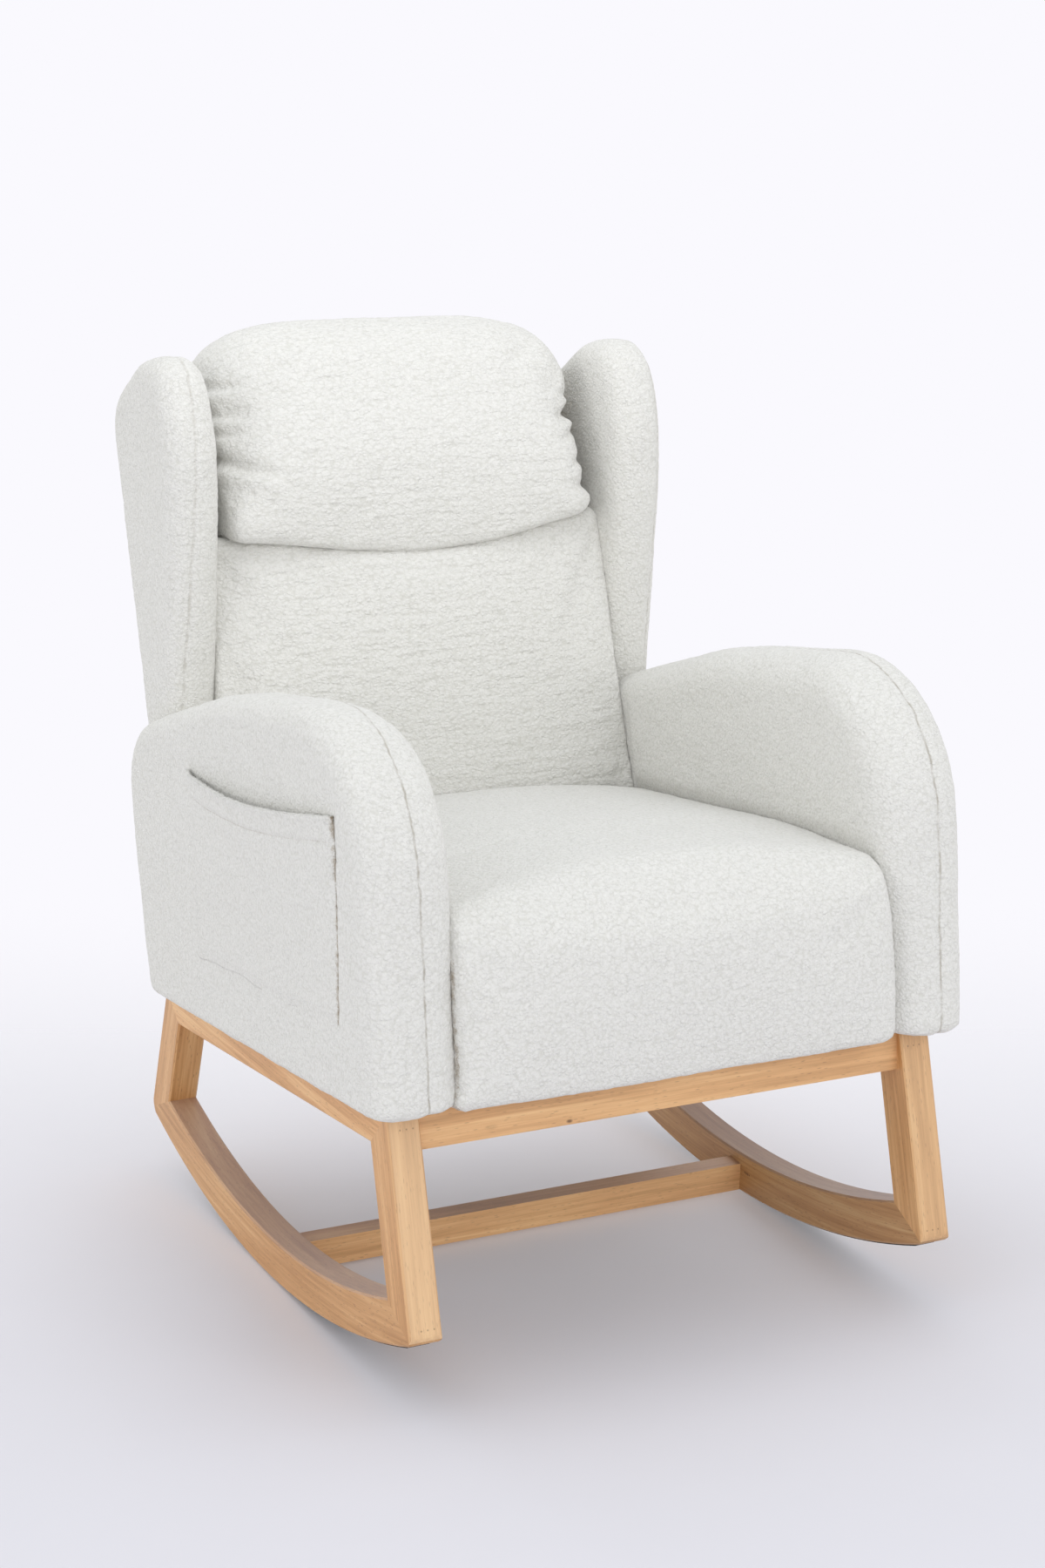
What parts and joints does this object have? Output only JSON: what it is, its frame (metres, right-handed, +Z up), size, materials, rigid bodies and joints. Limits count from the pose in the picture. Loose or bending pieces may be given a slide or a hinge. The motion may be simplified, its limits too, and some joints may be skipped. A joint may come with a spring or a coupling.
{
  "type": "upholstered rocking chair",
  "caption": "Wing-back rocking chair covered in off-white sherpa fleece, with rounded arms, side pockets and a head roll, on a bare wooden base with curved runners.",
  "frame": {"origin": "on the floor, midway between the runners, on the line where they touch the floor when the empty chair is at rest", "axes": "+Z up, -Y towards the sitter's feet (the chair's front), +X towards the sitter's left"},
  "size_m": [0.7226, 0.9033, 1.0273],
  "materials": {
    "rubberwood": "satin clear lacquer",
    "pine": "planed, unfinished",
    "plywood": "sawn, unfinished",
    "sherpa_fleece": "curly short pile",
    "foam": "open cell",
    "elastic_webbing": "woven",
    "lining_cloth": "thin non-woven",
    "zinc_steel": "zinc plated",
    "grip_rubber": "matt"
  },
  "bodies": {
    "root": {"runner_left": "rubberwood", "runner_right": "rubberwood", "front_leg_left": "rubberwood", "front_leg_right": "rubberwood", "rear_leg_left": "rubberwood", "rear_leg_right": "rubberwood", "side_rail_left": "rubberwood", "side_rail_right": "rubberwood", "front_rail": "rubberwood", "rear_rail": "rubberwood", "stretcher": "rubberwood", "grip_strip_left": "grip_rubber", "grip_strip_right": "grip_rubber", "corner_blocks": "pine", "rail_dowels": "pine", "stretcher_dowels": "pine", "base_bolts": "zinc_steel", "base_washers": "zinc_steel", "seat_front_rail": "pine", "seat_side_rail_left": "pine", "seat_side_rail_right": "pine", "seat_rear_rail": "pine", "seat_webbing": "elastic_webbing", "seat_cross_webbing": "elastic_webbing", "seat_foam": "foam", "seat_cushion": "sherpa_fleece", "dust_cover": "lining_cloth", "arm_panel_left": "plywood", "arm_panel_right": "plywood", "arm_pad_left": "sherpa_fleece", "arm_pad_right": "sherpa_fleece", "arm_blocks": "pine", "arm_bolts": "zinc_steel", "pocket_left": "sherpa_fleece", "pocket_right": "sherpa_fleece", "back_stile_left": "pine", "back_stile_right": "pine", "back_top_rail": "pine", "back_middle_rail": "pine", "back_bottom_rail": "pine", "back_webbing": "elastic_webbing", "back_cushion": "sherpa_fleece", "head_roll": "sherpa_fleece", "outer_back": "sherpa_fleece", "wing_panel_left": "plywood", "wing_panel_right": "plywood", "wing_pad_left": "sherpa_fleece", "wing_pad_right": "sherpa_fleece", "wing_blocks": "pine", "wing_bolts": "zinc_steel"}
  },
  "joints": []
}
